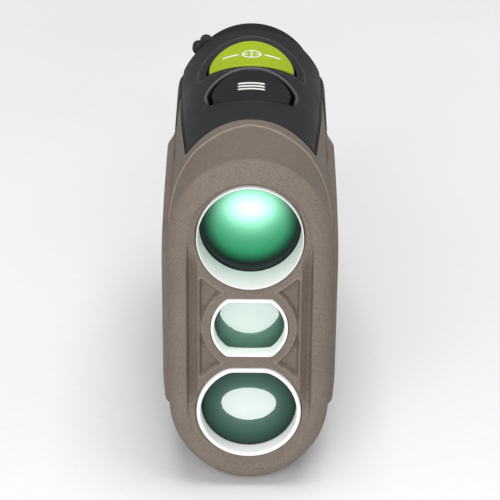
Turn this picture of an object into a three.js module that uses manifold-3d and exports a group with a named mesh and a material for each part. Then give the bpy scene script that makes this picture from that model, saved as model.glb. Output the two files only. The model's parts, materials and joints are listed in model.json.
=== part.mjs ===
// Hand-held laser rangefinder, standing upright on its base.
// Millimetres, +Z up. The objectives face -Y and the eyepiece faces +Y.
// The origin is under the middle of the body, on the surface that it stands on.
import * as THREE from 'three';
import { mergeVertices } from 'three/addons/utils/BufferGeometryUtils.js';
import Module from 'manifold-3d';

const wasm = await Module();
wasm.setup();

// ---------- driving dimensions ----------
const LENGTH = 99;
const HEIGHT = 76;
const SKIN_R = 18;
const PAD_R = 19.4;
const FRONT_Y = -LENGTH / 2;
const EYECUP_REAR_Y = LENGTH / 2;
const CASE_REAR_Y = 32.9;
const GAP = 0.3;

// The case outline is a stadium: two half circles joined by straight sides.
const LOW_CENTRE_Z = SKIN_R;
const HIGH_CENTRE_Z = HEIGHT - SKIN_R;
const FRONT_NARROWING = 0.03;
const ARC_STEPS = 14;
const HOLE_ARC_STEPS = 12;
const ROUND_STEPS = 28;
const SMALL_ROUND_STEPS = 16;

// Layers from the outside in: skin, then the structural tube.
const SKIN_INNER_R = 16;
const TUBE_R = SKIN_INNER_R - GAP;
const TUBE_INNER_R = 13.9;
const TUBE_REAR_Y = 29.2;
const FACE_THICKNESS = 2.6;
const BULKHEAD_THICKNESS = 2;

// The front face leans back towards the top on a parabola.
const LEAN = 0.0011;
const LEAN_START_Z = 5.05;
const CHAMFER_LOW_Z = 71.2;
const CHAMFER_DEPTH = 7.7;
const TOE_RADIUS = 4;

// Optical axes
const OBJECTIVE_Z = 59.7;
const EMITTER_Z = 39.35;
const RECEIVER_Z = 19.2;
const EYEPIECE_Z = 55.3;
const BATTERY_Z = 17.5;

// Bezels
const BEZEL_R = 11.47;
const BEZEL_SETBACK = 0.15;
const EMITTER_BEZEL_R = 8.31;
const EMITTER_BEZEL_FLAT = 7;
const RECEIVER_BEZEL_FLAT = 10.85;

// Keys on the top
const KEY_GAP = 0.35;
const KEY_INNER_R = 16.3;
const SWITCH_TOP_Z = 72.4;
const BUTTON_BOARD_Z = 69.2;

// Tripod socket in the base
const TRIPOD_Y = 4;
const TRIPOD_HOLE_R = 3.05;
const FOOT_WIDTH = 16;
const FOOT_LENGTH = 24;

const colours = {
  taupe_rubber: ['#7d7368', 0.85, 0],
  black_shell: ['#2d2e32', 0.6, 0],
  lime_key: ['#aac41e', 0.5, 0],
  white_bezel: ['#f5f5f0', 0.4, 0],
  green_glass: ['#0a8a5c', 0.05, 0],
  teal_glass: ['#466f5e', 0.05, 0],
  black_metal: ['#1b1c1e', 0.45, 0.6],
  silver_metal: ['#b9bcc0', 0.35, 1],
  brass: ['#b08d4a', 0.35, 1],
  board_green: ['#1f5a3a', 0.6, 0],
  chip_black: ['#202124', 0.7, 0],
  black_rubber: ['#1d1d1f', 0.9, 0],
  clear_glass: ['#c8d8d8', 0.05, 0],
  cell_jacket: ['#3f4a52', 0.5, 0],
  flex_amber: ['#b5772a', 0.6, 0],
};

// ---------- solids ----------
function signedVolume(position, index) {
  const a = new THREE.Vector3();
  const b = new THREE.Vector3();
  const c = new THREE.Vector3();
  let sum = 0;
  for (let i = 0; i < index.length; i += 3) {
    a.fromBufferAttribute(position, index[i]);
    b.fromBufferAttribute(position, index[i + 1]);
    c.fromBufferAttribute(position, index[i + 2]);
    sum += a.dot(b.cross(c));
  }
  return sum / 6;
}

function solid(geometry) {
  geometry.deleteAttribute('normal');
  geometry.deleteAttribute('uv');
  const merged = mergeVertices(geometry, 1e-4);
  const source = merged.index.array;
  const index = [];
  for (let i = 0; i < source.length; i += 3) {
    const [a, b, c] = [source[i], source[i + 1], source[i + 2]];
    if (a !== b && b !== c && c !== a) {
      index.push(a, b, c);
    }
  }
  const position = merged.getAttribute('position');
  if (signedVolume(position, index) < 0) {
    index.reverse();
  }
  return new wasm.Manifold(new wasm.Mesh({
    numProp: 3,
    vertProperties: new Float32Array(position.array),
    triVerts: new Uint32Array(index),
  }));
}

function joined(...pieces) {
  return pieces.reduce((sum, piece) => sum.add(piece));
}

function without(piece, ...cuts) {
  return cuts.reduce((rest, cut) => rest.subtract(cut), piece);
}

// A shape drawn in two of the row's axes and pushed along the third.
const along = {
  x: new THREE.Matrix4().makeBasis(
    new THREE.Vector3(0, 1, 0), new THREE.Vector3(0, 0, 1), new THREE.Vector3(1, 0, 0)),
  y: new THREE.Matrix4().makeBasis(
    new THREE.Vector3(1, 0, 0), new THREE.Vector3(0, 0, 1), new THREE.Vector3(0, -1, 0)),
  z: new THREE.Matrix4(),
};

function prism(axis, shape, from, to, curveSegments = ARC_STEPS) {
  const geometry = new THREE.ExtrudeGeometry(shape, {
    depth: to - from,
    bevelEnabled: false,
    curveSegments,
  });
  geometry.applyMatrix4(along[axis]);
  const start = { x: [from, 0, 0], y: [0, to, 0], z: [0, 0, from] }[axis];
  geometry.translate(...start);
  return geometry;
}

function box(x0, x1, y0, y1, z0, z1) {
  const geometry = new THREE.BoxGeometry(x1 - x0, y1 - y0, z1 - z0);
  geometry.translate((x0 + x1) / 2, (y0 + y1) / 2, (z0 + z1) / 2);
  return solid(geometry);
}

// A profile of [radius, y] turned about an axis along Y.
function turned(profile, x, z, segments = ROUND_STEPS) {
  const points = profile.map(([radius, y]) => new THREE.Vector2(radius, y));
  const geometry = new THREE.LatheGeometry(points, segments);
  geometry.translate(x, 0, z);
  return solid(geometry);
}

function rod(radius, y0, y1, x, z, segments = ROUND_STEPS) {
  return turned([[0, y0], [radius, y0], [radius, y1], [0, y1]], x, z, segments);
}

function ring(outer, inner, y0, y1, x, z) {
  return turned([[inner, y0], [outer, y0], [outer, y1], [inner, y1], [inner, y0]], x, z);
}

function post(radius, x, y, z0, z1, segments = SMALL_ROUND_STEPS) {
  const geometry = new THREE.CylinderGeometry(radius, radius, z1 - z0, segments);
  geometry.rotateX(Math.PI / 2);
  geometry.translate(x, y, (z0 + z1) / 2);
  return solid(geometry);
}

function outline(points) {
  return new THREE.Shape(points.map(([u, v]) => new THREE.Vector2(u, v)));
}

// ---------- case surfaces ----------
function stadium(radius) {
  const shape = new THREE.Shape();
  shape.absarc(0, HIGH_CENTRE_Z, radius, 0, Math.PI, false);
  shape.absarc(0, LOW_CENTRE_Z, radius, Math.PI, 2 * Math.PI, false);
  return shape;
}

function stadiumPrism(radius, y0, y1) {
  const geometry = prism('y', stadium(radius), y0, y1);
  const position = geometry.getAttribute('position');
  for (let i = 0; i < position.count; i += 1) {
    const toFront = (CASE_REAR_Y - position.getY(i)) / (CASE_REAR_Y - FRONT_Y);
    position.setX(i, position.getX(i) * (1 - FRONT_NARROWING * toFront));
  }
  return solid(geometry);
}

function faceY(z) {
  return FRONT_Y + LEAN * Math.max(0, z - LEAN_START_Z) ** 2;
}

// Everything behind the leaning front face, set back by inset.
function behindFace(inset) {
  const shape = new THREE.Shape();
  shape.moveTo(EYECUP_REAR_Y + 5, 0);
  shape.lineTo(FRONT_Y + TOE_RADIUS + inset, 0);
  shape.quadraticCurveTo(FRONT_Y + inset, 0, FRONT_Y + inset, TOE_RADIUS);
  const steps = 6;
  for (let i = 1; i <= steps; i += 1) {
    const z = TOE_RADIUS + (CHAMFER_LOW_Z - TOE_RADIUS) * i / steps;
    shape.lineTo(faceY(z) + inset, z);
  }
  shape.lineTo(FRONT_Y + CHAMFER_DEPTH + inset, HEIGHT);
  shape.lineTo(EYECUP_REAR_Y + 5, HEIGHT);
  return solid(prism('x', shape, -30, 30, 3));
}

function body(radius, inset, rear) {
  return stadiumPrism(radius, FRONT_Y - 1, rear).intersect(behindFace(inset));
}

function shell(outer, inset, rear) {
  return body(outer, inset, rear).subtract(body(SKIN_INNER_R, FACE_THICKNESS, rear + 5));
}

// ---------- regions of the skin ----------
// The black top cover, seen from above: a shallow crescent at the front, then slowly wider.
function topRegion(margin) {
  const side = [[14, -22.6], [15.3, -5.5], [15.9, 3.5], [16.45, 13.5], [16.9, 20], [16.9, 40]];
  const crescentY = -20.1;
  const shape = new THREE.Shape();
  const [tipX, tipY] = side[0];
  shape.moveTo(-tipX - margin, tipY - margin);
  shape.quadraticCurveTo(0, 2 * crescentY - tipY - margin, tipX + margin, tipY - margin);
  for (const [x, y] of side.slice(1)) {
    shape.lineTo(x + margin, y);
  }
  for (const [x, y] of side.slice(1).reverse()) {
    shape.lineTo(-x - margin, y);
  }
  return solid(prism('z', shape, 63.4 - margin, HEIGHT + 4, 8));
}

// The rubber front, seen from the side: it wraps the nose, then runs back as a pointed horn.
function armourRegion(margin) {
  const lowerEdge = [
    [-41.8, -1], [-41.8, 49], [-39.7, 54.1], [-35.6, 57.2], [-22, 59.6], [-5.5, 60.7], [8.9, 59.6],
    [20.3, 62.9],
  ];
  const points = lowerEdge.map(([y, z], i) => [y + margin, i > 1 ? z - margin : z]);
  points.push([20.3 + margin, HEIGHT + 2], [FRONT_Y - 2, HEIGHT + 2], [FRONT_Y - 2, -1]);
  return solid(prism('x', outline(points), -30, 30));
}

function padRegion(margin) {
  const low = 15.4 - margin;
  const front = -41.6 - margin;
  const back = 26.5 + margin;
  return solid(prism('x', outline([
    [22, low], [back, 20 - margin], [back, 47 + margin], [23.5, 51 + margin], [9, 59.4 + margin],
    [-5.5, 60.5 + margin], [-22, 59.4 + margin], [-35.5, 57 + margin], [-39.5, 54 + margin],
    [front, 49], [front, low],
  ]), -30, 30));
}

// ---------- keys ----------
// A key is a half ellipse at the back and a shallow arc at the front, seen from above.
function keyShape(key, margin) {
  const shape = new THREE.Shape();
  shape.absellipse(0, key.centreY, key.halfWidth + margin, key.back + margin, 0, Math.PI, false);
  shape.lineTo(-key.frontHalfWidth - margin, key.cornerY);
  shape.quadraticCurveTo(0, 2 * (key.frontY - margin) - key.cornerY,
    key.frontHalfWidth + margin, key.cornerY);
  return shape;
}

const measureKey = {
  centreY: 14.3, halfWidth: 10.25, back: 10.6, frontHalfWidth: 10.2, cornerY: 11.7, frontY: 9.9,
};
const menuKey = {
  centreY: -2, halfWidth: 9.9, back: 9.5, frontHalfWidth: 9.3, cornerY: -7.3, frontY: -10.5,
};

function keyCut(key, margin) {
  return solid(prism('z', keyShape(key, margin), 60, HEIGHT + 4, 10));
}

function keySolid(key, radius, postY) {
  const cap = stadiumPrism(radius, FRONT_Y, CASE_REAR_Y)
    .subtract(stadiumPrism(KEY_INNER_R, FRONT_Y - 1, CASE_REAR_Y + 1))
    .intersect(keyCut(key, 0));
  return cap.add(post(1.5, 0, postY, SWITCH_TOP_Z + 0.9, SWITCH_TOP_Z + 2.4));
}

// ---------- holes along Y ----------
function flattedDisc(radius, top, bottom) {
  const high = Math.asin(Math.min(1, top / radius));
  const low = Math.asin(Math.min(1, bottom / radius));
  const shape = new THREE.Shape();
  shape.absarc(0, 0, radius, -low, high, false);
  shape.absarc(0, 0, radius, Math.PI - high, Math.PI + low, false);
  return shape;
}

function flattedPrism(shape, y0, y1, z) {
  const geometry = prism('y', shape, y0, y1, HOLE_ARC_STEPS);
  geometry.translate(0, 0, z);
  return solid(geometry);
}

// ---------- outer pieces ----------
const lensAxes = [
  { z: OBJECTIVE_Z, hole: BEZEL_R + GAP, flats: 99 },
  { z: EMITTER_Z, hole: EMITTER_BEZEL_R + GAP, flats: EMITTER_BEZEL_FLAT + GAP },
  { z: RECEIVER_Z, hole: BEZEL_R + GAP, flats: 99 },
];

function lensHoles() {
  return lensAxes.map(({ z, hole, flats }) => flattedPrism(
    flattedDisc(hole, flats, flats), FRONT_Y - 3, FRONT_Y + 12, z));
}

function frontArmour() {
  return without(
    shell(SKIN_R, 0, 20.3).intersect(armourRegion(0)),
    topRegion(GAP), ...lensHoles());
}

function gripPad(side) {
  const pad = stadiumPrism(PAD_R, FRONT_Y, CASE_REAR_Y)
    .subtract(stadiumPrism(SKIN_INNER_R, FRONT_Y - 1, CASE_REAR_Y + 1))
    .intersect(padRegion(0));
  const half = side > 0 ? box(0, 30, -60, 60, 0, 90) : box(-30, 0, -60, 60, 0, 90);
  return pad.intersect(half);
}

function topCover() {
  return without(
    shell(SKIN_R, 0, CASE_REAR_Y).intersect(topRegion(0)),
    keyCut(measureKey, KEY_GAP), keyCut(menuKey, KEY_GAP));
}

const rearScrews = [[-12, 34], [12, 34], [-8, 7.2], [8, 7.2]];

function caseBody() {
  const interior = body(TUBE_INNER_R, FACE_THICKNESS + GAP + BULKHEAD_THICKNESS, 60);
  const tube = body(TUBE_R, FACE_THICKNESS + GAP, TUBE_REAR_Y);
  const skin = without(
    body(SKIN_R, 0, CASE_REAR_Y), armourRegion(GAP), topRegion(GAP), padRegion(GAP),
    stadiumPrism(SKIN_INNER_R, TUBE_REAR_Y, 60));
  const hollow = without(joined(tube, skin), interior);
  const bosses = rearScrews.map(([x, z]) => rod(2, 20, TUBE_REAR_Y, x, z, 12));
  const screwHoles = rearScrews.map(([x, z]) => rod(1.1, 19, TUBE_REAR_Y + 1, x, z, 8));
  const keyWindow = box(-11.6, 11.6, -13, 27, 64, HEIGHT + 1);
  const footWindow = footBlock(FOOT_WIDTH / 2 + GAP, FOOT_LENGTH / 2 + GAP, -1, 9);
  return without(
    joined(hollow, ...bosses), keyWindow, footWindow, ...lensHoles(), ...screwHoles);
}

function footBlock(halfWidth, halfLength, z0, z1) {
  return box(-halfWidth, halfWidth, TRIPOD_Y - halfLength, TRIPOD_Y + halfLength, z0, z1);
}

function tripodFoot() {
  return joined(
    footBlock(FOOT_WIDTH / 2, FOOT_LENGTH / 2, 0, 5), post(5.6, 0, TRIPOD_Y, 1, 7.5, 20),
  ).subtract(post(4.5, 0, TRIPOD_Y, -1, 8, 20));
}

function rearCover() {
  const plate = stadiumPrism(TUBE_R - 0.1, TUBE_REAR_Y + GAP, CASE_REAR_Y - 0.4);
  const screwHoles = rearScrews.map(([x, z]) => joined(
    rod(1.1, 25, 40, x, z, 8), rod(2, 31.2, 40, x, z, 12)));
  return without(
    plate,
    rod(13.3, 20, 40, 0, EYEPIECE_Z), rod(9, 20, 40, 0, BATTERY_Z), ...screwHoles);
}

// ---------- bezels and optics ----------
function objectiveBezel() {
  return ring(BEZEL_R, 10.8, FRONT_Y - 1, -40.2, 0, OBJECTIVE_Z)
    .intersect(behindFace(BEZEL_SETBACK));
}

function objectiveBarrel() {
  return turned([
    [11, -39.9], [11.6, -39.9], [11.6, -33], [11.2, -33], [11.2, -20], [10.2, -20],
    [10.2, -34.3], [11, -34.3], [11, -39.9],
  ], 0, OBJECTIVE_Z);
}

function emitterBezel() {
  const shape = flattedDisc(EMITTER_BEZEL_R, EMITTER_BEZEL_FLAT, EMITTER_BEZEL_FLAT);
  shape.holes.push(flattedDisc(7.3, 6.1, 6.1));
  return flattedPrism(shape, FRONT_Y - 1, -44.8, EMITTER_Z).intersect(behindFace(BEZEL_SETBACK));
}

function receiverBezel() {
  const shape = flattedDisc(BEZEL_R, RECEIVER_BEZEL_FLAT, 99);
  shape.holes.push(flattedDisc(10.26, 9.7, 99));
  return flattedPrism(shape, FRONT_Y - 1, -45, RECEIVER_Z).intersect(behindFace(BEZEL_SETBACK));
}

// A lens of radius r, bulging by front and back beyond its edge at y0 and y1.
function lens(radius, y0, y1, front, back, z) {
  const steps = 3;
  const profile = [];
  for (let i = 0; i <= steps; i += 1) {
    const t = i / steps;
    profile.push([radius * t, y0 - front * (1 - t * t)]);
  }
  for (let i = steps; i >= 0; i -= 1) {
    const t = i / steps;
    profile.push([radius * t, y1 + back * (1 - t * t)]);
  }
  return turned(profile, 0, z, 24);
}

function receiverLens() {
  const trim = box(-12, 12, -60, -40, RECEIVER_Z + 9.4, RECEIVER_Z + 12);
  return lens(9.9, -46.6, -45.2, 0.8, 0, RECEIVER_Z).subtract(trim);
}

function emitterHolder() {
  return turned([
    [4.7, -44.2], [6, -44.2], [6, -22], [3.2, -22], [3.2, -26], [4.7, -26], [4.7, -44.2],
  ], 0, EMITTER_Z, 20);
}

function receiverTube() {
  return turned([
    [10.2, -44.6], [11, -44.6], [11, -42], [4.6, -16], [4.6, -13], [4, -13], [4, -16],
    [10.2, -42], [10.2, -44.6],
  ], 0, RECEIVER_Z, 24);
}

function opticsPlate() {
  return without(
    stadiumPrism(TUBE_INNER_R - 0.4, -31, -29),
    rod(11.5, -35, -25, 0, OBJECTIVE_Z), rod(6.3, -35, -25, 0, EMITTER_Z, 20),
    rod(8.8, -35, -25, 0, RECEIVER_Z));
}

function roofPrism() {
  return solid(prism('x', outline([[-13, 50], [-1, 50], [1.5, 56], [-4, 65], [-13, 61]]), -8, 8));
}

function prismHolder() {
  return solid(prism('y', outline([
    [-10.2, 48.2], [10.2, 48.2], [10.2, 62], [8.4, 62], [8.4, 49.6], [-8.4, 49.6], [-8.4, 62],
    [-10.2, 62],
  ]), -15, 3));
}

// ---------- eyepiece ----------
function diopterRing() {
  const sleeve = turned([
    [13.3, 33.3], [15.2, 33.3], [15.2, 38.6], [12.9, 38.6], [12.9, 44], [11.3, 44],
    [11.3, 35.1], [13.3, 35.1], [13.3, 33.3],
  ], 0, EYEPIECE_Z);
  const tabAngle = 39.5;
  const tabRadius = 18.85;
  const lobes = [-1.2, 1.2].map((x) => joined(
    rod(1.5, 35.2, 38.4, x, tabRadius, 12), box(x - 1.5, x + 1.5, 35.2, 38.4, 14, tabRadius)));
  const tab = joined(...lobes).rotate([0, -tabAngle, 0]).translate([0, 0, EYEPIECE_Z]);
  return sleeve.add(tab);
}

function eyecup() {
  return turned([
    [13.2, 38.9], [15.4, 38.9], [15.7, 40.5], [15.7, 48.3], [15.2, EYECUP_REAR_Y],
    [14.2, EYECUP_REAR_Y], [12.6, 47.5], [10.4, 45.6], [9.8, 44.9], [9.8, 44.3],
    [13.2, 44.3], [13.2, 38.9],
  ], 0, EYEPIECE_Z);
}

// ---------- battery ----------
function batteryTube() {
  return turned([
    [0, -1.5], [9.2, -1.5], [9.2, 29.1], [8.2, 29.1], [8.2, -0.3], [0, -0.3],
  ], 0, BATTERY_Z, 20);
}

function batteryCell() {
  return turned([
    [0, 1.6], [7.8, 1.6], [7.8, 28.4], [3.2, 28.4], [3.2, 29], [0, 29],
  ], 0, BATTERY_Z, 20);
}

function contactSpring() {
  return turned([[1.6, 0], [6, 0], [3.4, 1.3], [1.6, 1.3], [1.6, 0]], 0, BATTERY_Z, SMALL_ROUND_STEPS);
}

function batteryCap() {
  const turnedCap = turned([
    [0, 29.4], [8.6, 29.4], [8.6, 30.4], [7.9, 30.4], [7.9, 31.4], [8.6, 31.4], [8.6, 32.8],
    [10.2, 32.8], [10.2, 34.4], [9.7, 34.9], [0, 34.9],
  ], 0, BATTERY_Z);
  return turnedCap.subtract(box(-6.5, 6.5, 33.9, 36, BATTERY_Z - 0.8, BATTERY_Z + 0.8));
}

function capSeal() {
  const steps = 6;
  const profile = [];
  for (let i = 0; i <= steps; i += 1) {
    const angle = 2 * Math.PI * i / steps;
    profile.push([8.45 + 0.35 * Math.cos(angle), 30.9 + 0.35 * Math.sin(angle)]);
  }
  return turned(profile, 0, BATTERY_Z, 24);
}

function rearScrew(x, z) {
  return turned([[0, 22], [0.8, 22.6], [0.8, 31.5], [1.7, 31.5], [1.7, 32], [1.3, 32.3],
    [0, 32.3]], x, z, 10);
}

function tripodBush() {
  return post(4.2, 0, TRIPOD_Y, GAP, 7, 20).subtract(post(TRIPOD_HOLE_R, 0, TRIPOD_Y, -1, 8, 20));
}

// ---------- electronics ----------
const BOARD_Z = 35.4;
const BOARD_TOP_Z = 36.6;
const onBoard = (x0, x1, y0, y1, height) => (
  box(x0, x1, y0, y1, BOARD_TOP_Z + GAP, BOARD_TOP_Z + GAP + height));
const keySwitch = (y) => box(-3, 3, y - 3, y + 3, BUTTON_BOARD_Z + 1.3, SWITCH_TOP_Z);

// ---------- the assembly ----------
const pieces = [
  ['front_armour', 'taupe_rubber', frontArmour()],
  ['left_grip_pad', 'taupe_rubber', gripPad(-1)],
  ['right_grip_pad', 'taupe_rubber', gripPad(1)],
  ['top_cover', 'black_shell', topCover()],
  ['case_body', 'black_shell', caseBody()],
  ['rear_cover', 'black_shell', rearCover()],
  ['measure_button', 'lime_key', keySolid(measureKey, SKIN_R, 17)],
  ['menu_button', 'black_shell', keySolid(menuKey, SKIN_R - 0.2, -1)],
  ['measure_switch', 'chip_black', keySwitch(17)],
  ['menu_switch', 'chip_black', keySwitch(-1)],
  ['button_board', 'board_green', box(-8.5, 8.5, -10, 25, BUTTON_BOARD_Z, BUTTON_BOARD_Z + 1)],
  ['objective_bezel', 'white_bezel', objectiveBezel()],
  ['emitter_bezel', 'white_bezel', emitterBezel()],
  ['receiver_bezel', 'white_bezel', receiverBezel()],
  ['objective_retaining_ring', 'black_metal', ring(10.8, 10.4, -39.9, -37.5, 0, OBJECTIVE_Z)],
  ['objective_lens', 'green_glass', lens(10.8, -37.2, -34.6, 1.8, 0, OBJECTIVE_Z)],
  ['objective_barrel', 'black_metal', objectiveBarrel()],
  ['emitter_window', 'teal_glass', flattedPrism(flattedDisc(7, 5.8, 5.8), -45.8, -44.6, EMITTER_Z)],
  ['emitter_holder', 'black_metal', emitterHolder()],
  ['collimator_lens', 'clear_glass', lens(4.4, -40, -38.5, 0.8, 0, EMITTER_Z)],
  ['laser_diode', 'silver_metal', rod(2.8, -25.5, -21, 0, EMITTER_Z, SMALL_ROUND_STEPS)],
  ['receiver_lens', 'teal_glass', receiverLens()],
  ['receiver_tube', 'black_metal', receiverTube()],
  ['photodiode', 'silver_metal', rod(3, -15.5, -12.5, 0, RECEIVER_Z, SMALL_ROUND_STEPS)],
  ['optics_plate', 'black_metal', opticsPlate()],
  ['roof_prism', 'clear_glass', roofPrism()],
  ['prism_holder', 'black_metal', prismHolder()],
  ['display_panel', 'clear_glass', box(-7, 7, 6, 7.2, 49.3, 61.3)],
  ['display_flex', 'flex_amber', box(-3, 3, 6.4, 6.8, BOARD_TOP_Z + GAP, 49)],
  ['key_flex', 'flex_amber', box(4, 8, 11, 11.4, BOARD_TOP_Z + GAP, BUTTON_BOARD_Z - GAP)],
  ['eyepiece_tube', 'black_metal', ring(13, 11.3, 14, 34.8, 0, EYEPIECE_Z)],
  ['ocular_barrel', 'black_metal', ring(11, 9.4, 16, 42, 0, EYEPIECE_Z)],
  ['field_lens', 'clear_glass', lens(9.1, 18, 20, 0.8, 0.8, EYEPIECE_Z)],
  ['eye_lens', 'clear_glass', lens(9.1, 37.6, 39.6, 0.6, 1.4, EYEPIECE_Z)],
  ['diopter_ring', 'black_shell', diopterRing()],
  ['eyecup', 'black_rubber', eyecup()],
  ['main_board', 'board_green', box(-12.4, 12.4, -19, 19, BOARD_Z, BOARD_TOP_Z)],
  ['processor', 'chip_black', onBoard(-9, 0, 9, 18, 1.2)],
  ['memory_chip', 'chip_black', onBoard(-9, -4, -8, -2, 1)],
  ['shield_can', 'silver_metal', box(-7, 7, -16, -4, 31.1, BOARD_Z - GAP)],
  ['laser_capacitor', 'chip_black', post(3, 8, 14, 27.5, BOARD_Z - GAP)],
  ['battery_tube', 'black_shell', batteryTube()],
  ['battery_cell', 'cell_jacket', batteryCell()],
  ['contact_spring', 'silver_metal', contactSpring()],
  ['battery_cap', 'black_shell', batteryCap()],
  ['cap_seal', 'black_rubber', capSeal()],
  ['tripod_foot', 'black_shell', tripodFoot()],
  ['tripod_bush', 'brass', tripodBush()],
  ...rearScrews.map(([x, z], i) => [`rear_screw_${i + 1}`, 'silver_metal', rearScrew(x, z)]),
];

function meshOf(name, slot, piece) {
  const { vertProperties, triVerts } = piece.getMesh();
  const geometry = new THREE.BufferGeometry();
  geometry.setAttribute('position', new THREE.BufferAttribute(vertProperties, 3));
  geometry.setIndex(new THREE.BufferAttribute(triVerts, 1));
  geometry.computeVertexNormals();
  const [color, roughness, metalness] = colours[slot];
  const mesh = new THREE.Mesh(
    geometry, new THREE.MeshStandardMaterial({ color, roughness, metalness }));
  mesh.name = name;
  return mesh;
}

const group = new THREE.Group();
for (const [name, slot, piece] of pieces) {
  group.add(meshOf(name, slot, piece));
}

export default group;
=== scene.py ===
"""Looks for the hand-held laser rangefinder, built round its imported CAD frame."""

import json
import math

import bmesh
import bpy
import numpy as np
from mathutils import Euler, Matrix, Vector


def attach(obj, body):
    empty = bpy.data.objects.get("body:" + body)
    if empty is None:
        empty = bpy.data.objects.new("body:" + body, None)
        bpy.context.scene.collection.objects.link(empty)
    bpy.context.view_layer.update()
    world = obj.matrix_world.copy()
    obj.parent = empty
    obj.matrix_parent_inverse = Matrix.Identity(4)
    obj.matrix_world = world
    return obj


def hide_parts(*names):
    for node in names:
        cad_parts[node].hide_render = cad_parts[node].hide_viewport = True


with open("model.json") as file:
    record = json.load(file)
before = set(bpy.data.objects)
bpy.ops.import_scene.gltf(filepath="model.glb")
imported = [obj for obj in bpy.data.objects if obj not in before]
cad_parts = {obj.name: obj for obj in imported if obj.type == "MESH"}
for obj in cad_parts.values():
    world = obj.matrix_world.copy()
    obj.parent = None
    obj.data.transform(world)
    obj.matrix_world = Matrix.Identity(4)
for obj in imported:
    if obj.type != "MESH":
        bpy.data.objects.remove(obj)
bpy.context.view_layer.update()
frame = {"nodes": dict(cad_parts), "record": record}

# ---------- driving dimensions, in millimetres ----------
MM = 0.001
LENGTH = 99.0
HEIGHT = 76.0
SKIN_R = 18.0
SKIN_INNER_R = 16.0
TUBE_R = 15.7
TUBE_INNER_R = 13.9
FRONT_Y = -LENGTH / 2
CASE_REAR_Y = 32.9
NARROWING = 0.03
TOE_NARROWING = 0.03
LOW_Z = SKIN_R
HIGH_Z = HEIGHT - SKIN_R
QUARTER = SKIN_R * math.pi / 2
STRAIGHT = HIGH_Z - LOW_Z
HALF_ROUND = 2 * QUARTER + STRAIGHT

# The nose: how it leans back, its crest, its rolled edge and its lens plate.
LEAN = 0.0011
LEAN_START_Z = 5.05
CREST_D = 13.3
TOP_BEVEL = 2.1
ROLL = 4.0
TOE_ROLL = 3.5
PLATE_DEPTH = 0.4
BEZEL_SETBACK = 0.02

# The axes, all at x = 0, and what surrounds them.
OBJECTIVE_Z = 59.7
EMITTER_Z = 39.35
RECEIVER_Z = 19.2
EYEPIECE_Z = 55.3
BATTERY_Z = 17.5
BEZEL_R = 11.3
EMITTER_BEZEL_R = 8.25

# Keys, focusing tab, base and floor.
SLOT_GAP = 0.22
KEY_WALL = 1.5
MEASURE_KEY_R = SKIN_R - 0.2
MENU_KEY_R = SKIN_R - 0.35
POST_Z = 73.35
TAB_TURN = 39.5
TAB_R = 18.85
TAB_HALF_GAP = 1.2
TAB_LOBE_R = 1.5
THREAD_PITCH = 1.27
TRIPOD_Y = 4.0
FOOT_HALF_X = 8.0
FOOT_HALF_Y = 12.0
FLOOR_HALF = 3000
FLOOR_Z = -0.02

# The camera, in metres, fitted to the photo's outline.
CAMERA_AT = (0, -0.40972, 0.24951)
CAMERA_AIM = (0, -0.0095, 0.03791)
CAMERA_LENS = 141.8
CAMERA_ROLL = 0.4836


# ---------- small mathematics ----------
def smoothstep(low, high, value):
    t = np.clip((value - low) / (high - low), 0, 1)
    return t * t * (3 - 2 * t)


def smooth_max(values, softness):
    """The largest of several fields, with its corners rounded."""
    stack = np.stack(values)
    top = stack.max(axis=0)
    return top + softness * np.log(np.exp((stack - top) / softness).sum(axis=0))


def fillet(distance, radius):
    """How far a surface has dropped this near its rounded edge."""
    inside = np.clip(radius - distance, 0, radius)
    return radius - np.sqrt(radius * radius - inside * inside)


def outline_distance(u, v, points):
    """The shortest distance from each (u, v) to a closed outline."""
    points = np.asarray(points, float)
    best = np.full(np.shape(u), 1e9)
    for a, b in zip(points, np.roll(points, -1, axis=0)):
        along = b - a
        length2 = max(float(along @ along), 1e-12)
        t = np.clip(((u - a[0]) * along[0] + (v - a[1]) * along[1]) / length2, 0, 1)
        best = np.minimum(best, np.hypot(u - a[0] - t * along[0], v - a[1] - t * along[1]))
    return best


def inside_outline(u, v, points):
    points = np.asarray(points, float)
    odd = np.zeros(np.shape(u), bool)
    for a, b in zip(points, np.roll(points, -1, axis=0)):
        if a[1] == b[1]:
            continue
        crosses = (a[1] > v) != (b[1] > v)
        at = a[0] + (v - a[1]) * (b[0] - a[0]) / (b[1] - a[1])
        odd ^= crosses & (u < at)
    return odd


# ---------- case surface ----------
def width_scale(y):
    """How much narrower the case is here than at its rear."""
    return 1 - NARROWING * (CASE_REAR_Y - y) / (CASE_REAR_Y - FRONT_Y)


def skin_z(x, y, r=SKIN_R):
    """The height of the domed top above (x, y)."""
    across = np.asarray(x) / width_scale(np.asarray(y))
    return HIGH_Z + np.sqrt(np.maximum(r * r - across * across, 0))


def case_point(p, r, y):
    """A point at distance r from the case's middle line, p round the outline from the top."""
    p, r, y = np.broadcast_arrays(*(np.asarray(a, float) for a in (p, r, y)))
    a = np.abs(p)
    top = a / SKIN_R
    low = (a - QUARTER - STRAIGHT) / SKIN_R
    on_top = a <= QUARTER
    on_low = a > QUARTER + STRAIGHT
    x = np.where(on_top, r * np.sin(top), np.where(on_low, r * np.cos(low), r))
    z = np.where(on_top, HIGH_Z + r * np.cos(top),
                 np.where(on_low, LOW_Z - r * np.sin(low), HIGH_Z - (a - QUARTER)))
    x = x * np.where(p < 0, -1, 1) * width_scale(y)
    x = x * (1 - TOE_NARROWING * smoothstep(-18, -44, y) * smoothstep(24, 13, z))
    return np.stack([x, y, z], axis=-1)


def face_y(z):
    return FRONT_Y + LEAN * np.maximum(0, z - LEAN_START_Z) ** 2


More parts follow.
